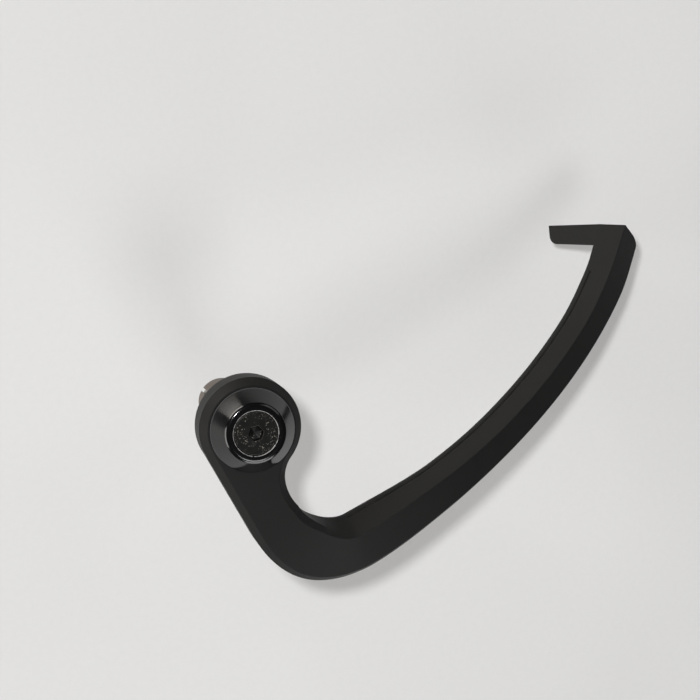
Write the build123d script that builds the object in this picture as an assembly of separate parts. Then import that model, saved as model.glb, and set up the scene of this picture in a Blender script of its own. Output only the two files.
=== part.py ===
# Brake lever guard for a handlebar's end.
# Millimetres. +Z is the handlebar's axis, pointing outboard; the origin is on that axis, on the back face of
# the guard's eye, where the handlebar ends. The short arm leaves the eye along -Y and the long arm runs
# towards +X, sweeping inboard.

import os
from math import asin, atan2, cos, hypot, radians, sin, sqrt

from build123d import *

os.makedirs("parts", exist_ok=True)

# The guard bar.
EYE_RADIUS = 14.5
EYE_THICK = 10.0
BAR_THICK = 8.5
EDGE_BEVEL = 2.0
ARM_DROP = 21.5            # from the eye's axis down to the start of the bend
NECK_FILLET = 7.0
NECK_WIDTH = 14.0
BEND_RADIUS = 21.0         # along the middle of the front face
BEND_TURN = radians(100.0)
BEND_WIDTH = 17.0
ARM_RADIUS = 212.0
ARM_TURN = radians(36.5)
ARM_WIDTH = 14.0
TIP_WIDTH = 12.0
SWEEP = 41.5               # how far the tip lies inboard of the eye's front face
BEND_ROLL = radians(15.5)  # the front face leans outwards, away from the eye
TIP_ROLL = radians(24.0)
LIP_THICK = 5.2
LIP_WIDE = 2.0             # flush with the bar's inner side
LIP_REACH = 28.0           # from the front face back to the lip's end
LIP_ROUND = 2.0
LIP_TILT = 8.0             # degrees past square to the front face
GROOVE_WIDTH = 1.2
GROOVE_DEEP = 0.8
GROOVE_EDGE = 1.2          # land left between the groove and the back face
GROOVE_LEAD = 3.0          # starts this far before the end of the bend
GROOVE_END = 14.0          # left plain at the tip

# The stack on the handlebar's axis.
SCREW_RADIUS = 3.0
HEAD_RADIUS = 6.0
HEAD_SINK = 0.15
SOCKET_ACROSS = 4.0
SOCKET_DEEP = 2.4
CAP_BASE_RADIUS = 12.0
CAP_TOP_RADIUS = 8.2
CAP_RIM = 0.8
CAP_HIGH = 5.6
SLEEVE_RADIUS = 7.25
SLEEVE_OUT = 39.0          # length that goes into the handlebar
SPIGOT_RADIUS = 6.0        # the sleeve's end that centres the eye
SPIGOT_LONG = 5.5
SEAT_DEEP = 6.0
SLIT_WIDTH = 1.2
SLIT_LONG = 24.0
SLIT_COUNT = 4
WEDGE_LONG = 8.0
WEDGE_SMALL = 4.6
WEDGE_LARGE = 6.2
SCREW_STICKOUT = 1.0       # past the wedge nut
END_BREAK = 0.5            # broken edge on the ends of the screw and the sleeve
HOLE_CLEAR = 0.3
SEAT_CLEAR = 0.1
WEDGE_CLEAR = 0.05
THREAD_CLEAR = 0.05


def smooth(t):
    t = min(max(t, 0.0), 1.0)
    return t * t * (3 - 2 * t)


# The neck's outer edge is the straight line that touches both the eye and the outside of the bend, so its
# slant says where the flat neck ends and the bend proper starts.
BEND_OUT = BEND_RADIUS + NECK_WIDTH / 2
NECK_SPAN = hypot(BEND_RADIUS, ARM_DROP)
NECK_SLANT = asin((BEND_OUT - EYE_RADIUS) / NECK_SPAN)
NECK_TURN = radians(90) - atan2(ARM_DROP, BEND_RADIUS) - NECK_SLANT

BEND_LONG = BEND_RADIUS * (BEND_TURN - NECK_TURN)
ARM_LONG = ARM_RADIUS * ARM_TURN
BAR_LONG = BEND_LONG + ARM_LONG
BEND_CENTRE = Vector(BEND_RADIUS, -ARM_DROP)
ARM_CENTRE = BEND_CENTRE + Vector(cos(BEND_TURN), sin(BEND_TURN)) * (ARM_RADIUS - BEND_RADIUS)


def bar_frame(run):
    """Place, outward, front and width of the bar's section, at a run from the end of the flat neck."""
    if run <= BEND_LONG:
        turn = NECK_TURN + run / BEND_RADIUS
        place = BEND_CENTRE - Vector(cos(turn), sin(turn)) * BEND_RADIUS
    else:
        turn = BEND_TURN + (run - BEND_LONG) / ARM_RADIUS
        place = ARM_CENTRE - Vector(cos(turn), sin(turn)) * ARM_RADIUS
    share = run / BAR_LONG
    place += Vector(0, 0, EYE_THICK - SWEEP * share ** 2)
    along = Vector(sin(turn), -cos(turn), -2 * SWEEP * share / BAR_LONG).normalized()
    side = along.cross(Vector(0, 0, 1)).normalized()
    front = side.cross(along)
    in_bend = run / BEND_LONG
    on_arm = max(run - BEND_LONG, 0) / ARM_LONG
    roll = BEND_ROLL * smooth(in_bend) + (TIP_ROLL - BEND_ROLL) * on_arm
    width = NECK_WIDTH + (BEND_WIDTH - NECK_WIDTH) * smooth(2 * in_bend)
    width += (ARM_WIDTH - BEND_WIDTH) * smooth(2 * in_bend - 1) + (TIP_WIDTH - ARM_WIDTH) * on_arm
    outward = side * cos(roll) - front * sin(roll)
    front = front * cos(roll) + side * sin(roll)
    return place, outward, front, width


def bar_section(run):
    place, outward, front, width = bar_frame(run)
    half = width / 2
    flat = half - EDGE_BEVEL
    left = [(-half, -BAR_THICK), (-half, -EDGE_BEVEL), (-flat, 0)]
    right = [(flat, 0), (half, -EDGE_BEVEL), (half, -BAR_THICK)]
    points = [place + outward * across + front * up for across, up in left + right]
    return make_face(Polyline(*points, close=True))


def groove_section(run):
    place, outward, front, width = bar_frame(run)
    floor = GROOVE_DEEP - width / 2
    low = GROOVE_EDGE - BAR_THICK
    high = low + GROOVE_WIDTH
    outline = [(-width, low), (-width, high), (floor, high), (floor, low)]
    points = [place + outward * across + front * up for across, up in outline]
    return make_face(Polyline(*points, close=True))


# The guard bar: eye and neck as one flat plate, bevelled all round its front.
half_neck = NECK_WIDTH / 2
fillet_y = -sqrt((EYE_RADIUS + NECK_FILLET) ** 2 - (half_neck + NECK_FILLET) ** 2)
fillet_centre = Vector(half_neck + NECK_FILLET, fillet_y)
eye_inner = fillet_centre * (EYE_RADIUS / (EYE_RADIUS + NECK_FILLET))
fillet_end = Vector(half_neck, fillet_y)
fillet_way = (fillet_centre * 2 - eye_inner - fillet_end).normalized()
fillet_mid = fillet_centre - fillet_way * NECK_FILLET
across_neck = Vector(cos(NECK_TURN), sin(NECK_TURN))
bend_inner = BEND_CENTRE - across_neck * (BEND_RADIUS - half_neck)
bend_outer = BEND_CENTRE - across_neck * BEND_OUT
inner_start = Vector(half_neck, -ARM_DROP)
half_turn = Vector(cos(NECK_TURN / 2), sin(NECK_TURN / 2))
eye_outer = across_neck * -EYE_RADIUS
plate = make_face(
    [
        ThreePointArc(eye_outer, Vector(0, EYE_RADIUS), eye_inner),
        ThreePointArc(eye_inner, fillet_mid, fillet_end),
        Line(fillet_end, inner_start),
        ThreePointArc(inner_start, BEND_CENTRE - half_turn * (BEND_RADIUS - half_neck), bend_inner),
        Line(bend_inner, bend_outer),
        Line(bend_outer, eye_outer),
    ]
)
neck = Pos(0, 0, EYE_THICK - BAR_THICK) * extrude(plate, BAR_THICK)
cut_mid = (bend_inner + bend_outer) * 0.5 + Vector(0, 0, EYE_THICK)
front_edges = neck.faces().sort_by(Axis.Z)[-1].edges()
neck_end = front_edges.sort_by(lambda edge: (edge.center() - cut_mid).length)[0]
neck = chamfer([edge for edge in front_edges if edge is not neck_end], EDGE_BEVEL)

# Its bend and long arm, one solid drawn through the turning sections.
bend_runs = [BEND_LONG * step / 6 for step in range(6)]
arm_runs = [BEND_LONG + ARM_LONG * step / 7 for step in range(8)]
arm = loft([bar_section(run) for run in bend_runs + arm_runs])

# The lip at its tip, a tab turned back a little past square to the front face.
place, outward, front, width = bar_frame(BAR_LONG)
tip = Plane(place, x_dir=outward, z_dir=outward.cross(front))
lip_long = LIP_REACH - BAR_THICK / 2
lip = Box(LIP_WIDE, lip_long, LIP_THICK, align=(Align.MIN, Align.MAX, Align.MIN))
lip_corner = lip.edges().filter_by(Axis.X).sort_by(lambda edge: edge.center().Y - edge.center().Z)[0]
lip = Pos(-width / 2, BAR_THICK / 2, 0) * fillet(lip_corner, LIP_ROUND)
lip = tip * Pos(0, -BAR_THICK, 0) * Rot(LIP_TILT, 0, 0) * lip

# The groove along its inner side, and the stepped hole in its eye.
groove_start = BEND_LONG - GROOVE_LEAD
groove_long = BAR_LONG - GROOVE_END - groove_start
groove = loft([groove_section(groove_start + groove_long * step / 7) for step in range(8)])
eye = Cylinder(EYE_RADIUS, EYE_THICK - EDGE_BEVEL, align=(Align.CENTER, Align.CENTER, Align.MIN))
seat = Cylinder(SPIGOT_RADIUS + SEAT_CLEAR, SEAT_DEEP, align=(Align.CENTER, Align.CENTER, Align.MIN))
hole = Cylinder(SCREW_RADIUS + HOLE_CLEAR, EYE_THICK, align=(Align.CENTER, Align.CENTER, Align.MIN))
guard_bar = neck + eye + arm + lip - groove - seat - hole

# The end cap: a cone on the eye's front, countersunk for the screw.
cap_top = EYE_THICK + CAP_HIGH
cap_outline = Polyline(
    (SCREW_RADIUS + HOLE_CLEAR, EYE_THICK),
    (CAP_BASE_RADIUS, EYE_THICK),
    (CAP_BASE_RADIUS, EYE_THICK + CAP_RIM),
    (CAP_TOP_RADIUS, cap_top),
    (HEAD_RADIUS + HOLE_CLEAR, cap_top),
    (HEAD_RADIUS + HOLE_CLEAR, cap_top - HEAD_SINK),
    (SCREW_RADIUS + HOLE_CLEAR, cap_top - HEAD_SINK - (HEAD_RADIUS - SCREW_RADIUS)),
    close=True,
)
end_cap = revolve(Plane.XZ * make_face(cap_outline), Axis.Z)

# The clamp screw: its countersunk head bears in the cap, its thread ends in the wedge nut.
head_top = cap_top - HEAD_SINK
head_under = head_top - HOLE_CLEAR - (HEAD_RADIUS - SCREW_RADIUS)
screw_end = -SLEEVE_OUT - SCREW_STICKOUT
screw_outline = Polyline(
    (0, screw_end),
    (SCREW_RADIUS - END_BREAK, screw_end),
    (SCREW_RADIUS, screw_end + END_BREAK),
    (SCREW_RADIUS, head_under),
    (HEAD_RADIUS, head_top - HOLE_CLEAR),
    (HEAD_RADIUS, head_top),
    (0, head_top),
    close=True,
)
clamp_screw = revolve(Plane.XZ * make_face(screw_outline), Axis.Z)
socket = extrude(Pos(0, 0, head_top) * RegularPolygon(SOCKET_ACROSS / 2, 6, major_radius=False), -SOCKET_DEEP)
clamp_screw = clamp_screw - socket

# The expander sleeve: its shoulder bears on the eye's back; its other end is slit, and tapered inside.
sleeve_end = -SLEEVE_OUT
wedge_top = sleeve_end + WEDGE_LONG
sleeve_outline = Polyline(
    (SCREW_RADIUS + HOLE_CLEAR, SPIGOT_LONG),
    (SPIGOT_RADIUS, SPIGOT_LONG),
    (SPIGOT_RADIUS, 0),
    (SLEEVE_RADIUS, 0),
    (SLEEVE_RADIUS, sleeve_end + END_BREAK),
    (SLEEVE_RADIUS - END_BREAK, sleeve_end),
    (WEDGE_LARGE + WEDGE_CLEAR, sleeve_end),
    (WEDGE_SMALL + WEDGE_CLEAR, wedge_top),
    (SCREW_RADIUS + HOLE_CLEAR, wedge_top),
    close=True,
)
expander_sleeve = revolve(Plane.XZ * make_face(sleeve_outline), Axis.Z)
slit = Pos(0, 0, sleeve_end) * Box(
    2 * SLEEVE_RADIUS, SLIT_WIDTH, SLIT_LONG, align=(Align.MIN, Align.CENTER, Align.MIN)
)
for count in range(SLIT_COUNT):
    expander_sleeve = expander_sleeve - Rot(0, 0, 45 + 360 / SLIT_COUNT * count) * slit

# The wedge nut, drawn into the sleeve's taper by the screw.
nut_outline = Polyline(
    (SCREW_RADIUS + THREAD_CLEAR, sleeve_end),
    (WEDGE_LARGE, sleeve_end),
    (WEDGE_SMALL, wedge_top),
    (SCREW_RADIUS + THREAD_CLEAR, wedge_top),
    close=True,
)
wedge_nut = revolve(Plane.XZ * make_face(nut_outline), Axis.Z)

export_step(guard_bar, "parts/guard_bar.step")
export_step(end_cap, "parts/end_cap.step")
export_step(clamp_screw, "parts/clamp_screw.step")
export_step(expander_sleeve, "parts/expander_sleeve.step")
export_step(wedge_nut, "parts/wedge_nut.step")
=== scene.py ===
from math import asin, atan2, cos, hypot, pi, radians, sin, sqrt

import bmesh
import bpy
from mathutils import Matrix, Vector


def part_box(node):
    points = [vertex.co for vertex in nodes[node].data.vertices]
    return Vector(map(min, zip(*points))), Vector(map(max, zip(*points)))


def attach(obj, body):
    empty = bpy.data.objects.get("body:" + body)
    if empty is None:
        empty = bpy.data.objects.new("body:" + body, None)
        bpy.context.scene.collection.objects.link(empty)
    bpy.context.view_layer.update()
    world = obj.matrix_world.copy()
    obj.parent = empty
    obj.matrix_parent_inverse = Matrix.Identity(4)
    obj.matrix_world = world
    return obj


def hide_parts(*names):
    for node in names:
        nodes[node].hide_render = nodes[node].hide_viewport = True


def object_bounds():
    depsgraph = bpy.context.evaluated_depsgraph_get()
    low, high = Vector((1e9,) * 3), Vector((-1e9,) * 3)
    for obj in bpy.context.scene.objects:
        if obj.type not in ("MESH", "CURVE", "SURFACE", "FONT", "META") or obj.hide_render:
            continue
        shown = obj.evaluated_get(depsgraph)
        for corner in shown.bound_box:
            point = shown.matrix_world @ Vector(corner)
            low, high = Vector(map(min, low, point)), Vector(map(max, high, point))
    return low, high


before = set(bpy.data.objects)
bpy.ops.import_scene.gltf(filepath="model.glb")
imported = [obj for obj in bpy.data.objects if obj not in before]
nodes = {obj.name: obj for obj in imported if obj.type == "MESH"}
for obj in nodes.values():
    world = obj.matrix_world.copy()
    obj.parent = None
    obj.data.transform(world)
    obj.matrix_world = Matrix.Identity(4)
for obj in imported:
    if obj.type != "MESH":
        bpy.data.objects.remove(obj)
cad_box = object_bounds()


# The guard bar: eye, short arm, bend, long arm and lip in one piece of aluminium, milled to shape, tumbled
# and anodised matte black. A faint grain is left in its surface, its edges are rubbed a little paler, and
# some dust lies on it. Runs along the bar are measured from the end of the flat neck.
mm = 0.001
hair = 0.01 * mm              # points closer than this are in the same place
eye_radius = 14.5 * mm
eye_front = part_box("end_cap")[0].z
seat_radius = 6.1 * mm
seat_deep = 6.0 * mm
hole_radius = 3.3 * mm
bar_thick = 8.5 * mm
edge_bevel = 2.0 * mm
bevel_deep = 2.4 * mm         # steeper on the eye and the neck
arm_drop = 21.5 * mm          # from the eye's axis down to the start of the bend
neck_fillet = 9.5 * mm
neck_inner = 6.45 * mm        # the neck's narrowest reach to its inner side
neck_outer = 7.3 * mm
notch_radius = 13.76 * mm     # the round of the neck's inner side into the bend
fill_long = 13.0 * mm         # the neck's extra width on that side fades out over this run
bend_radius = 21.0 * mm
bend_turn = radians(100.0)
bend_width = 17.6 * mm
arm_radius = 212.0 * mm
arm_turn = radians(36.80)
arm_width = 14.8 * mm
tip_width = 12.4 * mm
taper_share = 0.42            # the long arm narrows over this share of its length
bow = 0.75 * mm               # the long arm bows in from its arc by this much, the bend out by about as much
bow_start = 8.0 * mm
bow_grow = 25.0 * mm
bow_out_end = 58.0 * mm
bow_out_fade = 28.0 * mm
bow_at = 80.0 * mm
bow_long = 170.0 * mm
tip_draw = 1.1 * mm           # its last stretch is drawn in by this much
tip_stretch = 20.0 * mm
tip_swell = 0.9 * mm          # its inner side widens a little towards the tip, less at its very end
tip_swell_start = 130.0 * mm
tip_swell_grow = 20.0 * mm
tip_inner = 0.5 * mm
tip_inner_start = 150.0 * mm
tip_inner_long = 16.0 * mm
sweep = 42.3 * mm             # how far the tip lies inboard of the eye's front
bend_roll = radians(15.5)
tip_roll = radians(24.0)
wall_swell = 1.9 * mm         # the back of the inner wall stands in this far at the bend
wall_swell_start = 14.0 * mm
wall_swell_grow = 18.0 * mm
wall_swell_end = 62.0 * mm
wall_swell_fade = 30.0 * mm
groove_low = 1.9 * mm         # the fine groove on the inner wall, from the bar's back
groove_high = 2.4 * mm
groove_deep = 0.25 * mm
groove_lean = 0.1 * mm        # its sides slope by this much
groove_start = 30.0 * mm
groove_end = 149.0 * mm
groove_run_out = 0.3 * mm     # its ends run out over this much
strip_high = 1.0 * mm         # the slim chamfer along the inner wall's back edge
strip_deep = 0.45 * mm
strip_grow = 12.0 * mm
strip_fade = 6.0 * mm
lip_wide = 2.0 * mm
lip_root = 8.2 * mm           # thickness where it leaves the bar
lip_slant = 1.7 * mm          # its underside slopes back by this much over its width
lip_far_top = Vector((-28.9, -2.2)) * mm    # back from the front face, and back along the bar
lip_far_low = Vector((-25.7, 5.95)) * mm
lip_round = 2.6 * mm
tip_round = 2.6 * mm
sharp_bar_edge = radians(18)
bend_steps = 30
arm_steps = 54
eye_steps = 66
under_steps = 30
fillet_steps = 12
notch_steps = 14
round_flats = 6

plate_back = eye_front - bar_thick
bend_out = bend_radius + neck_outer
neck_slant = asin((bend_out - eye_radius) / hypot(bend_radius, arm_drop))
neck_turn = radians(90) - atan2(arm_drop, bend_radius) - neck_slant
bend_long = bend_radius * (bend_turn - neck_turn)
arm_long = arm_radius * arm_turn
bar_long = bend_long + arm_long
bend_centre = Vector((bend_radius, -arm_drop, 0))
arm_centre = bend_centre + Vector((cos(bend_turn), sin(bend_turn), 0)) * (arm_radius - bend_radius)
across_neck = Vector((cos(neck_turn), sin(neck_turn), 0))
fillet_y = -sqrt((eye_radius + neck_fillet) ** 2 - (neck_inner + neck_fillet) ** 2)
fillet_centre = Vector((neck_inner + neck_fillet, fillet_y, 0))
notch_centre = Vector((neck_inner + notch_radius, fillet_y, 0))
notch_offset = notch_centre - bend_centre
notch_near = across_neck.dot(notch_offset)
notch_reach = sqrt(notch_near ** 2 - notch_offset.length_squared + notch_radius ** 2) - notch_near
notch_end = bend_centre - across_neck * notch_reach
notch_turn = atan2(notch_centre.y - notch_end.y, notch_centre.x - notch_end.x)
neck_fill = bend_radius - notch_reach - neck_outer
inner_angle = atan2(fillet_centre.y, fillet_centre.x)
eye_angle = pi + neck_turn - inner_angle


def ease(share):
    """0 up to a share of 0, 1 from a share of 1, smooth between."""
    share = min(max(share, 0.0), 1.0)
    return share * share * (3 - 2 * share)


def bar_frame(run):
    """Place, outward, front, along and width of the bar's section at a run."""
    if run <= bend_long:
        turn = neck_turn + run / bend_radius
        place = bend_centre - Vector((cos(turn), sin(turn), 0)) * bend_radius
    else:
        turn = bend_turn + (run - bend_long) / arm_radius
        place = arm_centre - Vector((cos(turn), sin(turn), 0)) * arm_radius
    share = run / bar_long
    place.z = eye_front - sweep * share ** 2
    along = Vector((sin(turn), -cos(turn), -2 * sweep * share / bar_long)).normalized()
    side = along.cross(Vector((0, 0, 1))).normalized()
    front = side.cross(along)
    in_bend = run / bend_long
    on_arm = max(run - bend_long, 0) / arm_long
    roll = bend_roll * ease(in_bend) + (tip_roll - bend_roll) * on_arm
    width = 2 * neck_outer + (bend_width - 2 * neck_outer) * ease(2 * in_bend)
    width += (arm_width - bend_width) * ease(2 * in_bend - 1)
    width += (tip_width - arm_width) * ease(on_arm / taper_share)
    drift = bow * ease((bow_out_end - run) / bow_out_fade) - bow * cos(2 * pi * (run - bow_at) / bow_long)
    drift -= tip_draw * ease((run - bar_long + tip_stretch) / tip_stretch)
    place += side * drift * ease((run - bow_start) / bow_grow)
    outward = side * cos(roll) - front * sin(roll)
    return place, outward, front * cos(roll) + side * sin(roll), along, width


def bar_ring(run):
    """The section's corners, from the outer side's back edge over the front to the inner side's back edge
    and the lip's root. The inner bevel of the neck widens round the bend until it is the whole inner wall."""
    place, outward, front, _, width = bar_frame(run)
    half = width / 2
    in_bend = ease(run / bend_long)
    inner = half + neck_fill * (1 - ease(run / fill_long))
    inner += tip_swell * ease((run - tip_swell_start) / tip_swell_grow)
    inner -= (tip_swell - tip_inner) * ease((run - tip_inner_start) / tip_inner_long)
    swell = wall_swell * ease((run - wall_swell_start) / wall_swell_grow)
    swell *= ease((wall_swell_end - run) / wall_swell_fade)
    deep = bevel_deep + (edge_bevel - bevel_deep) * in_bend
    crest = Vector((edge_bevel - inner, 0))
    back = Vector((-inner - swell, -bar_thick))
    low = Vector((-inner, -deep)).lerp(crest.lerp(back, deep / bar_thick), in_bend)
    wall = (low - back).normalized()
    inward = Vector((wall.y, -wall.x))
    groove = groove_deep if groove_start < run < groove_end else 0.0
    strip = strip_deep * ease(run / strip_grow) * ease((bar_long - lip_root - run) / strip_fade)
    corners = [
        Vector((half, -bar_thick)),
        Vector((half, -deep)),
        Vector((half - edge_bevel, 0)),
        crest,
        low,
        back + wall * (groove_high + groove_lean),
        back + wall * groove_high + inward * groove,
        back + wall * groove_low + inward * groove,
        back + wall * (groove_low - groove_lean),
        back + wall * strip_high,
        back + Vector((strip, 0)),
        Vector((lip_wide - inner, -bar_thick)),
    ]
    return [place + outward * corner.x + front * corner.y for corner in corners]


def points_of(parts):
    """The points among some parts of a mesh."""
    return [part for part in parts if isinstance(part, bmesh.types.BMVert)]


def drawn_on(mesh, lines, rise, scale):
    """Draws a ring of lines on, along the handlebar's axis by `rise` and in to `scale` of its width."""
    made = bmesh.ops.extrude_edge_only(mesh, edges=lines)["geom"]
    points = points_of(made)
    bmesh.ops.scale(mesh, vec=(scale, scale, 1), verts=points)
    bmesh.ops.translate(mesh, vec=(0, 0, rise), verts=points)
    inside = set(points)
    return [part for part in made if isinstance(part, bmesh.types.BMEdge) and inside.issuperset(part.verts)]


def swung_on(mesh, point, centre, turn, steps):
    """Draws an arc on from a point, and gives the arc's last point."""
    made = bmesh.ops.spin(mesh, geom=[point], cent=centre, axis=(0, 0, 1), angle=turn, steps=steps)
    return points_of(made["geom_last"])[0]


def raised(mesh, faces, rise):
    """Pulls faces out along the handlebar's axis, with walls round them."""
    made = bmesh.ops.extrude_face_region(mesh, geom=faces)["geom"]
    bmesh.ops.translate(mesh, vec=(0, 0, rise), verts=points_of(made))


def bevelled(mesh, lines, width, flats):
    """Bevels lines to a width, with so many flats across the bevel."""
    bmesh.ops.bevel(
        mesh, geom=lines, offset=width, affect="EDGES", segments=flats, profile=0.5, material=-1,
        clamp_overlap=True,
    )


def middle(part):
    """The middle of a line or a face."""
    return sum((corner.co for corner in part.verts), Vector()) / len(part.verts)


def nearest(parts, spot):
    """The line or face whose middle is nearest to a spot."""
    return min(parts, key=lambda part: (middle(part) - spot).length)


def faces_within(mesh, radius, height=None):
    """The faces that lie inside a radius about the handlebar's axis, and no higher than `height` if given."""
    inside = []
    for face in mesh.faces:
        reach = max(corner.co.xy.length for corner in face.verts)
        top = max(corner.co.z for corner in face.verts)
        if reach < radius + hair and (height is None or top < height + hair):
            inside.append(face)
    return inside


def shown(mesh, name):
    """Ends a mesh, and puts it in the scene as a piece with smooth faces."""
    made = bpy.data.meshes.new(name)
    mesh.to_mesh(made)
    mesh.free()
    for face in made.polygons:
        face.use_smooth = True
    piece = bpy.data.objects.new(name, made)
    bpy.context.scene.collection.objects.link(piece)
    return piece


# Its plate: the eye's circle with the seat and the hole in it, then the flat neck, raised to the bar's
# thickness and bevelled all round its front.
mesh = bmesh.new()
on_plate = Vector((0, 0, plate_back))
eye_start = mesh.verts.new(on_plate - across_neck * eye_radius)
neck_start = swung_on(mesh, eye_start, on_plate, -eye_angle, eye_steps)
under_end = swung_on(mesh, neck_start, on_plate, eye_angle - 2 * pi, under_steps)
bmesh.ops.weld_verts(mesh, targetmap={under_end: eye_start})
eye_lines = list(mesh.edges)
under_lines = [
    line for line in eye_lines
    if neck_turn - pi < atan2(middle(line).y, middle(line).x) < inner_angle
]
neck_corner = swung_on(mesh, neck_start, fillet_centre, -inner_angle, fillet_steps)
bend_inner = swung_on(mesh, neck_corner, notch_centre, notch_turn, notch_steps)
bend_outer = mesh.verts.new(on_plate + bend_centre - across_neck * bend_out)
mesh.edges.new((bend_inner, bend_outer))
mesh.edges.new((bend_outer, eye_start))
neck_lines = [line for line in mesh.edges if line not in eye_lines]
bmesh.ops.edgeloop_fill(mesh, edges=neck_lines + under_lines)
seat_lines = drawn_on(mesh, eye_lines, 0, seat_radius / eye_radius)
hole_lines = drawn_on(mesh, seat_lines, 0, hole_radius / seat_radius)
bmesh.ops.edgeloop_fill(mesh, edges=hole_lines)
raised(mesh, mesh.faces[:], bar_thick)
bmesh.ops.recalc_face_normals(mesh, faces=mesh.faces)

# The neck's front and the eye's front beside it become one face, so that the bevel runs on unbroken.
half_front = 0.5              # along z, a normal has 1 on the front and 0 on the walls
front_faces = {face for face in mesh.faces if face.normal.z > half_front}
neck_top = max(front_faces, key=lambda face: face.calc_area())
joined = {face for line in neck_top.edges for face in line.link_faces if face in front_faces}
bmesh.ops.dissolve_faces(mesh, faces=list(joined))
neck_place, _, neck_front, _, _ = bar_frame(0)
rim_lines = [
    line for line in mesh.edges
    if min(corner.co.z for corner in line.verts) > eye_front - hair
    and min(face.normal.z for face in line.link_faces) < half_front
]
rim_lines.remove(nearest(rim_lines, neck_place))
bevelled(mesh, rim_lines, edge_bevel, flats=1)
bevel_foot = [point for point in mesh.verts if abs(point.co.z - eye_front + edge_bevel) < hair]
bmesh.ops.translate(mesh, vec=(0, 0, edge_bevel - bevel_deep), verts=bevel_foot)

# The hole and its seat are opened, and the eye's back stands a little proud of the neck's.
opened = set(faces_within(mesh, seat_radius, plate_back) + faces_within(mesh, hole_radius))
bmesh.ops.delete(mesh, geom=list(opened), context="FACES")
seat_lines = [line for line in mesh.edges if line.is_boundary and middle(line).z < plate_back + hair]
seat_lines = drawn_on(mesh, seat_lines, seat_deep - plate_back, 1.0)
drawn_on(mesh, seat_lines, 0, hole_radius / seat_radius)
bmesh.ops.bridge_loops(mesh, edges=[line for line in mesh.edges if line.is_boundary])
eye_back = faces_within(mesh, eye_radius, plate_back)
raised(mesh, eye_back, -plate_back)
bmesh.ops.delete(mesh, geom=eye_back, context="FACES")    # raising left the old faces inside the eye

# The bend and the long arm are drawn on from the neck's end, section by section.
neck_middle = neck_place - neck_front * bar_thick / 2
inner_middle = notch_end + Vector((0, 0, eye_front)) - neck_front * (bar_thick + bevel_deep) / 2
wall_cuts = 5                 # corners for the groove and the chamfer
back_cuts = 1                 # a corner for the lip's root
for spot, cuts in ((inner_middle, wall_cuts), (neck_place - neck_front * bar_thick, back_cuts)):
    end = nearest(mesh.faces, neck_middle)
    bmesh.ops.subdivide_edges(mesh, edges=[nearest(end.edges, spot)], cuts=cuts)
end = nearest(mesh.faces, neck_middle)
runs = [bend_long * step / bend_steps for step in range(1, bend_steps)]
runs += [bend_long + (arm_long - lip_root) * step / arm_steps for step in range(arm_steps + 1)]
runs += [groove_start, groove_start + groove_run_out, groove_end - groove_run_out, groove_end, bar_long]


def settle(face, before, after):
    """Moves each corner of a face from its spot in `before` to the same spot in `after`."""
    for corner in face.verts:
        which = min(range(len(before)), key=lambda index: (before[index] - corner.co).length)
        corner.co = after[which]


spots = bar_ring(0)
corners = list(end.verts)
near_spot = 0.3 * mm          # a corner this near to a spot belongs to it
while (corners[0].co - spots[0]).length > near_spot:
    corners.append(corners.pop(0))
if (corners[1].co - spots[1]).length > near_spot:
    corners = corners[:1] + corners[:0:-1]
for corner, spot in zip(corners, spots):
    corner.co = spot
for run in sorted(runs):
    end = bmesh.ops.extrude_discrete_faces(mesh, faces=[end])["faces"][0]
    last_spots, spots = spots, bar_ring(run)
    settle(end, last_spots, spots)

# The lip is drawn back from the inner edge of the bar's back, over the last stretch.
tip_place, tip_outward, tip_front, tip_along, tip_wide = bar_frame(bar_long)
slant_point = min(mesh.verts, key=lambda point: (point.co - last_spots[-1]).length)
last_spots[-1] = last_spots[-1] + tip_along * lip_slant
slant_point.co = last_spots[-1]
root_spots = last_spots[-2:] + spots[-2:]
lip_end = nearest(mesh.faces, sum(root_spots, Vector()) / len(root_spots))
lip_end = bmesh.ops.extrude_discrete_faces(mesh, faces=[lip_end])["faces"][0]
far_spots = []
for far, slant in ((lip_far_low, lip_slant), (lip_far_top, 0)):
    for across, slope in ((0, 0), (lip_wide, slant)):
        spot = tip_place + tip_outward * (across - tip_wide / 2 - tip_inner)
        far_spots.append(spot + tip_front * far.x - tip_along * (far.y - slope))
settle(lip_end, root_spots, far_spots)
bevelled(mesh, [nearest(lip_end.edges, (far_spots[0] + far_spots[1]) / 2)], lip_round, round_flats)
tip_lines = [nearest(mesh.edges, (spots[first] + spots[first + 1]) / 2) for first in (0, 1)]
bevelled(mesh, tip_lines, tip_round, round_flats)
bmesh.ops.recalc_face_normals(mesh, faces=mesh.faces)
for line in mesh.edges:
    line.smooth = line.calc_face_angle(pi) < sharp_bar_edge
bar = shown(mesh, "guard_bar_milled")


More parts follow.
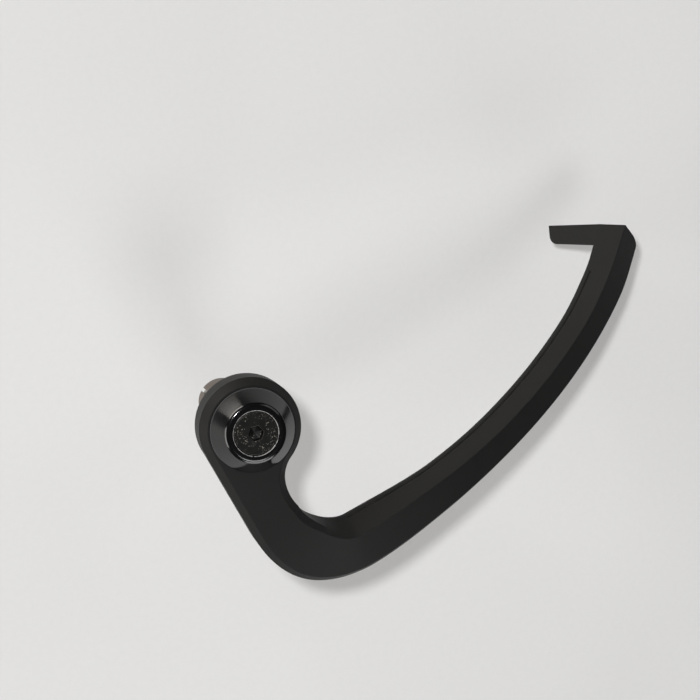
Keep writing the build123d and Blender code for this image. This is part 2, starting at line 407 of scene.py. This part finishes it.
class Shade:
    """A value on a surface, so that sums with it are written as sums."""

    def __init__(self, tree, socket=None):
        self.tree = tree
        self.socket = socket

    def node(self, kind, settings=None, sockets=None, out=0):
        """Adds one node: first its settings, then the values or links of its sockets."""
        added = self.tree.nodes.new(kind)
        for name, value in (settings or {}).items():
            setattr(added, name, value)
        for name, value in (sockets or {}).items():
            if isinstance(value, Shade):
                self.tree.links.new(value.socket, added.inputs[name])
            else:
                added.inputs[name].default_value = value
        return Shade(self.tree, added.outputs[out] if added.outputs else None)

    def sum(self, operation, first, second):
        return self.node("ShaderNodeMath", {"operation": operation}, {0: first, 1: second})

    def __add__(self, other):
        return self.sum("ADD", self, other)

    __radd__ = __add__

    def __sub__(self, other):
        return self.sum("SUBTRACT", self, other)

    def __rsub__(self, other):
        return self.sum("SUBTRACT", other, self)

    def __mul__(self, other):
        return self.sum("MULTIPLY", self, other)

    __rmul__ = __mul__

    def place(self, stretch=None):
        """Where the surface is on its piece, with each direction scaled by `stretch` if given."""
        here = self.node("ShaderNodeTexCoord", out="Object")
        if stretch is None:
            return here
        return self.node("ShaderNodeVectorMath", {"operation": "MULTIPLY"}, {0: here, 1: stretch})

    def grain(self, scale, detail=2.0, stretch=None):
        """Cloudy variation, `scale` clouds to a metre."""
        sockets = {"Vector": self.place(stretch), "Scale": scale, "Detail": detail}
        return self.node("ShaderNodeTexNoise", None, sockets)

    def band(self, low, high):
        """0 below `low`, 1 above `high`, smooth between."""
        settings = {"interpolation_type": "SMOOTHSTEP"}
        return self.node("ShaderNodeMapRange", settings, {"Value": self, "From Min": low, "From Max": high})

    def between(self, first, second):
        """A colour from `first` to `second`, mixed by this value."""
        factor, first_colour, second_colour, mixed_colour = 0, 6, 7, 2
        sockets = {factor: self, first_colour: first, second_colour: second}
        return self.node("ShaderNodeMix", {"data_type": "RGBA"}, sockets, out=mixed_colour)

    def softened(self, radius):
        """The way the surface faces, with its edges rounded to `radius`."""
        return self.node("ShaderNodeBevel", {"samples": 8}, {"Radius": radius})

    def rub(self, radius):
        """Where an edge sharper than `radius` is rubbed: 1 on the edge and 0 on flat metal."""
        facings = {0: self.softened(radius), 1: self.node("ShaderNodeNewGeometry", out="Normal")}
        facing = self.node("ShaderNodeVectorMath", {"operation": "DOT_PRODUCT"}, facings, out="Value")
        return (1 - facing).band(low=0.02, high=0.22)

    def bump(self, height, strength, deep, facing=None):
        """The way the surface faces when `height` roughens it, `deep` metres at most."""
        sockets = {"Strength": strength, "Distance": deep, "Height": height}
        if facing:
            sockets["Normal"] = facing
        return self.node("ShaderNodeBump", None, sockets)


def finish_of(name):
    """An empty finish: the material, and the start of its sums."""
    material = bpy.data.materials.new(name)
    material.use_nodes = True
    material.node_tree.nodes.clear()
    return material, Shade(material.node_tree)


def close_finish(start, sockets):
    """Ends a finish with its surface."""
    surface = start.node("ShaderNodeBsdfPrincipled", None, sockets)
    start.node("ShaderNodeOutputMaterial", None, {"Surface": surface})


black_deep = (0.0060, 0.0059, 0.0057, 1)
black_pale = (0.0086, 0.0084, 0.0081, 1)
black_rubbed = (0.115, 0.108, 0.098, 1)
black_dusty = (0.16, 0.15, 0.14, 1)
black, start = finish_of("matte_black_anodised")
tumbled = start.grain(scale=2600, detail=3.0)
cloud = start.grain(scale=70, detail=3.0)
edge = start.rub(0.5 * mm) * start.grain(scale=420, detail=3.0).band(0.35, 0.75)
dust = start.grain(scale=5200, detail=1.0).band(0.70, 0.80) * cloud.band(0.45, 0.75)
tone = cloud.between(black_deep, black_pale)
tone = (edge * 0.2).between(tone, black_rubbed)
tone = (dust * 0.35).between(tone, black_dusty)
close_finish(start, {
    "Base Color": tone,
    "Roughness": 0.50 + 0.10 * cloud + 0.06 * tumbled - 0.12 * edge,
    "Metallic": 0.0,
    "Specular IOR Level": 0.24,
    "Normal": start.bump(tumbled, strength=0.22, deep=0.04 * mm, facing=start.softened(0.4 * mm)),
})
bar.data.materials.append(black)
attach(bar, "root")
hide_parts("guard_bar")


# The expander sleeve: a turned aluminium tube with a spigot in the eye and four slits at its free end. It is
# left dull, with the rings of the turning tool on it and brown smears of handling.
sleeve_brown = (0.100, 0.076, 0.060, 1)
sleeve_clean = (0.145, 0.120, 0.100, 1)
sleeve_ring = (0.27, 0.255, 0.24, 1)
sleeve_rubbed = (0.42, 0.40, 0.38, 1)
sleeve_grey, start = finish_of("dull_turned_aluminium")
rings = start.grain(scale=2400, stretch=(0.02, 0.02, 1.0))
smear = start.grain(scale=140, detail=4.0)
edge = start.rub(0.3 * mm)
tone = smear.band(0.3, 0.75).between(sleeve_brown, sleeve_clean)
tone = (rings.band(0.35, 0.8) * 0.25).between(tone, sleeve_ring)
tone = (edge * 0.5).between(tone, sleeve_rubbed)
close_finish(start, {
    "Base Color": tone,
    "Roughness": 0.42 + 0.18 * smear - 0.1 * edge,
    "Metallic": 0.25,
    "Specular IOR Level": 0.3,
    "Normal": start.bump(rings, strength=0.25, deep=0.05 * mm, facing=start.softened(0.2 * mm)),
})
nodes["expander_sleeve"].data.materials.clear()
nodes["expander_sleeve"].data.materials.append(sleeve_grey)


# The wedge nut: a turned steel cone with a tapped hole, which the screw draws into the sleeve to spread it.
# Bare steel, bright on the turned rings, with a thin film of old oil.
steel_oily = (0.30, 0.285, 0.26, 1)
steel_clean = (0.43, 0.42, 0.405, 1)
steel_rubbed = (0.62, 0.61, 0.60, 1)
steel, start = finish_of("bare_turned_steel")
rings = start.grain(scale=3000, stretch=(0.05, 0.05, 1.0))
oil = start.grain(scale=260, detail=4.0)
edge = start.rub(0.3 * mm)
tone = oil.band(0.35, 0.7).between(steel_oily, steel_clean)
tone = (edge * 0.6).between(tone, steel_rubbed)
close_finish(start, {
    "Base Color": tone,
    "Roughness": 0.28 + 0.22 * oil,
    "Metallic": 0.9,
    "Normal": start.bump(rings, strength=0.2, deep=0.04 * mm),
})
nodes["wedge_nut"].data.materials.clear()
nodes["wedge_nut"].data.materials.append(steel)


# The end cap: a cone turned from aluminium, polished and anodised gloss black, with a countersink for the
# screw. It is turned here again from the solid's own outline, with the soft edges that polishing leaves, and
# a thin bright ring is painted on the countersink's edge as a highlight.
cap_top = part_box("end_cap")[1].z
cap_base = 12.0 * mm
cap_band = 0.8 * mm
cap_crown = 8.2 * mm
cap_sink = 6.3 * mm
cap_sink_band = 0.15 * mm
cap_sink_deep = 3.15 * mm
cap_hole = 3.3 * mm
base_soft = 0.35 * mm
crown_soft = 0.7 * mm
sink_soft = 0.07 * mm
soft_flats = 5
cap_steps = 144
highlight_inside = 0.04 * mm       # how far the painted highlight reaches in and out from the countersink's edge
highlight_full = 0.12 * mm
highlight_outside = 0.2 * mm


def turned(name, outline, soft_edges, steps):
    """A ring turned about the handlebar's axis from (radius, height) points in metres.
    `soft_edges` gives for some of the points the width of their rounded edge."""
    mesh = bmesh.new()
    points = [mesh.verts.new((radius, 0, height)) for radius, height in outline]
    lines = [mesh.edges.new((first, second)) for first, second in zip(points, points[1:] + points[:1])]
    bmesh.ops.spin(
        mesh, geom=points + lines, cent=(0, 0, 0), axis=(0, 0, 1), angle=2 * pi, steps=steps, use_merge=True
    )
    bmesh.ops.remove_doubles(mesh, verts=mesh.verts, dist=hair)
    bmesh.ops.recalc_face_normals(mesh, faces=mesh.faces)
    for (radius, height), width in soft_edges:
        ring = []
        for line in mesh.edges:
            ends = [abs(end.co.xy.length - radius) + abs(end.co.z - height) for end in line.verts]
            if max(ends) < hair:
                ring.append(line)
        bevelled(mesh, ring, width, soft_flats)
    piece = shown(mesh, name)
    piece.modifiers.new("straight_flanks", "WEIGHTED_NORMAL")
    return piece


cap = turned(
    "end_cap_polished",
    [
        (cap_hole, eye_front),
        (cap_base, eye_front),
        (cap_base, eye_front + cap_band),
        (cap_crown, cap_top),
        (cap_sink, cap_top),
        (cap_sink, cap_top - cap_sink_band),
        (cap_hole, cap_top - cap_sink_deep),
    ],
    [
        ((cap_base, eye_front + cap_band), base_soft),
        ((cap_crown, cap_top), crown_soft),
        ((cap_sink, cap_top), sink_soft),
    ],
    cap_steps,
)
gloss_black = (0.0045, 0.0045, 0.005, 1)
gloss_dusty = (0.12, 0.115, 0.11, 1)
# the pale grey below is a painted highlight colour for the countersink's edge, not wear
gloss_highlight = (0.42, 0.42, 0.41, 1)
gloss, start = finish_of("gloss_black_anodised")
cloud = start.grain(scale=160, detail=3.0)
wipe = start.grain(scale=900, detail=3.0)
dust = start.grain(scale=3800, detail=1.0).band(0.71, 0.78) * cloud.band(0.4, 0.7)
flat_place = start.place((1.0, 1.0, 0.0))
from_axis = start.node("ShaderNodeVectorMath", {"operation": "LENGTH"}, {0: flat_place}, out="Value")
# a thin pale ring round the countersink's edge, broken up by noise: a painted highlight for light caught on
# that edge
painted_highlight_ring = from_axis.band(cap_sink - highlight_inside, cap_sink)
painted_highlight_ring = painted_highlight_ring * (1 - from_axis.band(cap_sink + highlight_full, cap_sink + highlight_outside))
painted_highlight_ring = painted_highlight_ring * wipe.band(0.3, 0.55)
tone = (dust * 0.3).between(gloss_black, gloss_dusty)
tone = (painted_highlight_ring * 0.8).between(tone, gloss_highlight)
close_finish(start, {
    "Base Color": tone,
    "Roughness": 0.09 + 0.06 * cloud + 0.3 * dust + 0.3 * painted_highlight_ring,
    "Metallic": 0.0,
    "Specular IOR Level": 0.75,
    "Normal": start.bump(wipe, strength=0.06, deep=0.03 * mm),
})
cap.data.materials.append(gloss)
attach(cap, "root")
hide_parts("end_cap")


# The clamp screw: a countersunk socket screw, M6, black oxide on steel. Its head lies just under the cap's
# top, and its thread ends in the wedge nut. Dust and bright rubbed spots show round the socket.
screw_low, screw_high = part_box("clamp_screw")
shank_long = screw_high.z - screw_low.z
screw_radius = 3.0 * mm
root_radius = 2.45 * mm
head_radius = 6.0 * mm
head_band = 0.3 * mm
head_deep = head_band + head_radius - screw_radius
hex_sides = 6
socket_across = 4.0 * mm
socket_deep = 2.4 * mm
drill_point = 0.7 * mm        # the cone that the drill leaves in the socket's floor
drill_tip = 0.05              # its tip against the socket's width
pitch = 1.0 * mm
thread_long = 22.0 * mm
thread_run_out = 0.4 * mm
ridge_sunk = 0.1 * mm         # the ridge's foot lies this deep in the thread's core
ridge_foot = (0.05 * mm, 0.91 * mm)
ridge_top = (0.42 * mm, 0.54 * mm)
thread_steps = 30
round_steps = 96
sharp_screw_edge = 0.6        # radians

mesh = bmesh.new()
hex_radius = socket_across / 2 / cos(pi / hex_sides)
hex_stand = Matrix.Rotation(pi / hex_sides, 4, "Z")
bmesh.ops.create_circle(mesh, segments=hex_sides, radius=hex_radius, matrix=hex_stand)
bmesh.ops.subdivide_edges(mesh, edges=mesh.edges, cuts=round_steps // hex_sides - 1)
hex_lines = list(mesh.edges)
bmesh.ops.create_circle(mesh, segments=round_steps, radius=head_radius)
rim_lines = [line for line in mesh.edges if line.verts[0].co.length > socket_across]
bmesh.ops.bridge_loops(mesh, edges=mesh.edges)
floor_ring = drawn_on(mesh, hex_lines, -socket_deep, 1.0)
floor_ring = drawn_on(mesh, floor_ring, -drill_point, drill_tip)
bmesh.ops.holes_fill(mesh, edges=floor_ring, sides=0)
ring = drawn_on(mesh, rim_lines, -head_band, 1.0)
ring = drawn_on(mesh, ring, screw_radius - head_radius, screw_radius / head_radius)
ring = drawn_on(mesh, ring, head_deep + thread_long - shank_long, 1.0)
ring = drawn_on(mesh, ring, -thread_run_out, root_radius / screw_radius)
ring = drawn_on(mesh, ring, thread_run_out - thread_long, 1.0)
bmesh.ops.holes_fill(mesh, edges=ring, sides=0)
ridge = [
    mesh.verts.new((radius, 0, height - shank_long))
    for radius, height in (
        (root_radius - ridge_sunk, ridge_foot[0]),
        (screw_radius, ridge_top[0]),
        (screw_radius, ridge_top[1]),
        (root_radius - ridge_sunk, ridge_foot[1]),
    )
]
ridge_lines = [mesh.edges.new((first, second)) for first, second in zip(ridge, ridge[1:] + ridge[:1])]
turns = int(thread_long / pitch) - 1
bmesh.ops.spin(
    mesh, geom=ridge + ridge_lines, cent=(0, 0, 0), axis=(0, 0, 1), angle=2 * pi * turns,
    steps=turns * thread_steps, dvec=(0, 0, pitch / thread_steps), use_merge=False,
)
bmesh.ops.holes_fill(mesh, edges=[line for line in mesh.edges if line.is_boundary], sides=0)
bmesh.ops.recalc_face_normals(mesh, faces=mesh.faces)
for line in mesh.edges:
    line.smooth = line.calc_face_angle(0) <= sharp_screw_edge
bmesh.ops.translate(mesh, vec=(0, 0, screw_high.z), verts=mesh.verts)
screw = shown(mesh, "clamp_screw_threaded")

oxide_deep = (0.004, 0.004, 0.0038, 1)
oxide_pale = (0.011, 0.011, 0.0100, 1)
oxide_rubbed = (0.20, 0.19, 0.18, 1)
oxide_speck = (0.36, 0.34, 0.29, 1)
oxide, start = finish_of("black_oxide_steel")
cloud = start.grain(scale=600, detail=3.0)
speck = start.grain(scale=2600).band(0.60, 0.68) * start.grain(scale=420).band(0.47, 0.58)
pitting = start.grain(scale=3000, detail=3.0)
tone = cloud.between(oxide_deep, oxide_pale)
tone = (start.rub(0.25 * mm) * 0.5).between(tone, oxide_rubbed)
tone = (speck * 0.8).between(tone, oxide_speck)
close_finish(start, {
    "Base Color": tone,
    "Roughness": 0.26 + 0.2 * cloud + 0.2 * speck,
    "Metallic": 0.4,
    "Specular IOR Level": 0.3,
    "Normal": start.bump(pitting, strength=0.3, deep=0.05 * mm, facing=start.softened(0.2 * mm)),
})
screw.data.materials.append(oxide)
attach(screw, "root")
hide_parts("clamp_screw")


# The floor: a wide sheet of pale matte paper with a very faint tooth. It is laid flat, a little way below
# the guard.
floor_gap = 14 * mm
floor_half = 30.0             # metres, so that its edge lies far off in side views
paper_low = (0.735, 0.735, 0.735, 1)
paper_high = (0.765, 0.765, 0.765, 1)
mesh = bmesh.new()
bmesh.ops.create_grid(mesh, x_segments=1, y_segments=1, size=floor_half)
bmesh.ops.translate(mesh, vec=(0, 0, cad_box[0][2] - floor_gap), verts=mesh.verts)
floor = shown(mesh, "paper_floor")
paper, start = finish_of("pale_paper")
close_finish(start, {
    "Base Color": start.grain(scale=500).between(paper_low, paper_high),
    "Roughness": 0.9,
    "Specular IOR Level": 0.0,
})
floor.data.materials.append(paper)


# The camera looks at the guard's front, from a little to the left of the handlebar's axis and above it. Its
# place and its lens were fitted to the photo.
camera_right = Vector((0.94511, -0.19659, 0.26098))
camera_up = Vector((0.23639, 0.96281, -0.13083))
camera_back = Vector((-0.22556, 0.18534, 0.95644))
camera_place = Vector((-0.057194, 0.08836, 0.387608))
camera = bpy.data.objects.new("camera", bpy.data.cameras.new("camera"))
camera.data.sensor_width = 36.0
camera.data.lens = 72.414
camera.data.clip_start = 0.01
stand = Matrix((camera_right, camera_up, camera_back)).transposed().to_4x4()
stand.translation = camera_place
camera.matrix_world = stand
bpy.context.scene.collection.objects.link(camera)
bpy.context.scene.camera = camera


# The light: a small soft lamp close beside the camera throws the short shadow. Four wide soft windows stand
# round the guard, one smaller lamp hangs over it, and the room is dim.
flash_strength = 17.6
flash_radius = 0.014
flash_behind = 0.04
flash_aside = 0.031
guard_middle = Vector((0.06, -0.02, -0.02))
room_grey = (0.012, 0.012, 0.0125, 1)
white = (1, 1, 1)


def lamp(name, place, wide, high, power, colour):
    """A rectangular soft light that faces the guard's middle."""
    light = bpy.data.lights.new(name, "AREA")
    light.shape = "RECTANGLE"
    light.size = wide
    light.size_y = high
    light.energy = power
    light.color = colour
    held = bpy.data.objects.new(name, light)
    held.location = place
    held.rotation_euler = (guard_middle - held.location).to_track_quat("-Z", "Y").to_euler()
    bpy.context.scene.collection.objects.link(held)


flash = bpy.data.lights.new("flash", "POINT")
flash.energy = 1.0
flash.shadow_soft_size = flash_radius
flash.use_nodes = True
glow = flash.node_tree.nodes["Emission"]
even = flash.node_tree.nodes.new("ShaderNodeLightFalloff")
even.inputs["Strength"].default_value = flash_strength
flash.node_tree.links.new(even.outputs["Constant"], glow.inputs["Strength"])
held = bpy.data.objects.new("flash", flash)
held.location = camera_place + camera_back * flash_behind + (camera_up - camera_right) * flash_aside
bpy.context.scene.collection.objects.link(held)
lamp("window_above", place=(-1.5, 2.7, 0.85), wide=2.4, high=1.5, power=56.0, colour=(1, 0.96, 0.90))
lamp("window_left", place=(-2.9, -0.3, 1.0), wide=2.4, high=1.8, power=48.0, colour=(1, 0.98, 0.95))
lamp("window_below", place=(0.2, -2.9, 1.1), wide=2.4, high=1.8, power=40.0, colour=white)
lamp("window_right", place=(2.1, 1.0, 1.9), wide=1.6, high=1.6, power=6.0, colour=white)
lamp("ceiling_light", place=(0.1, -1.05, 1.7), wide=0.6, high=0.6, power=6.0, colour=white)
room = bpy.data.worlds.new("dim_room")
room.use_nodes = True
room.node_tree.nodes["Background"].inputs["Color"].default_value = room_grey
bpy.context.scene.world = room
bpy.context.scene.view_settings.view_transform = "Standard"
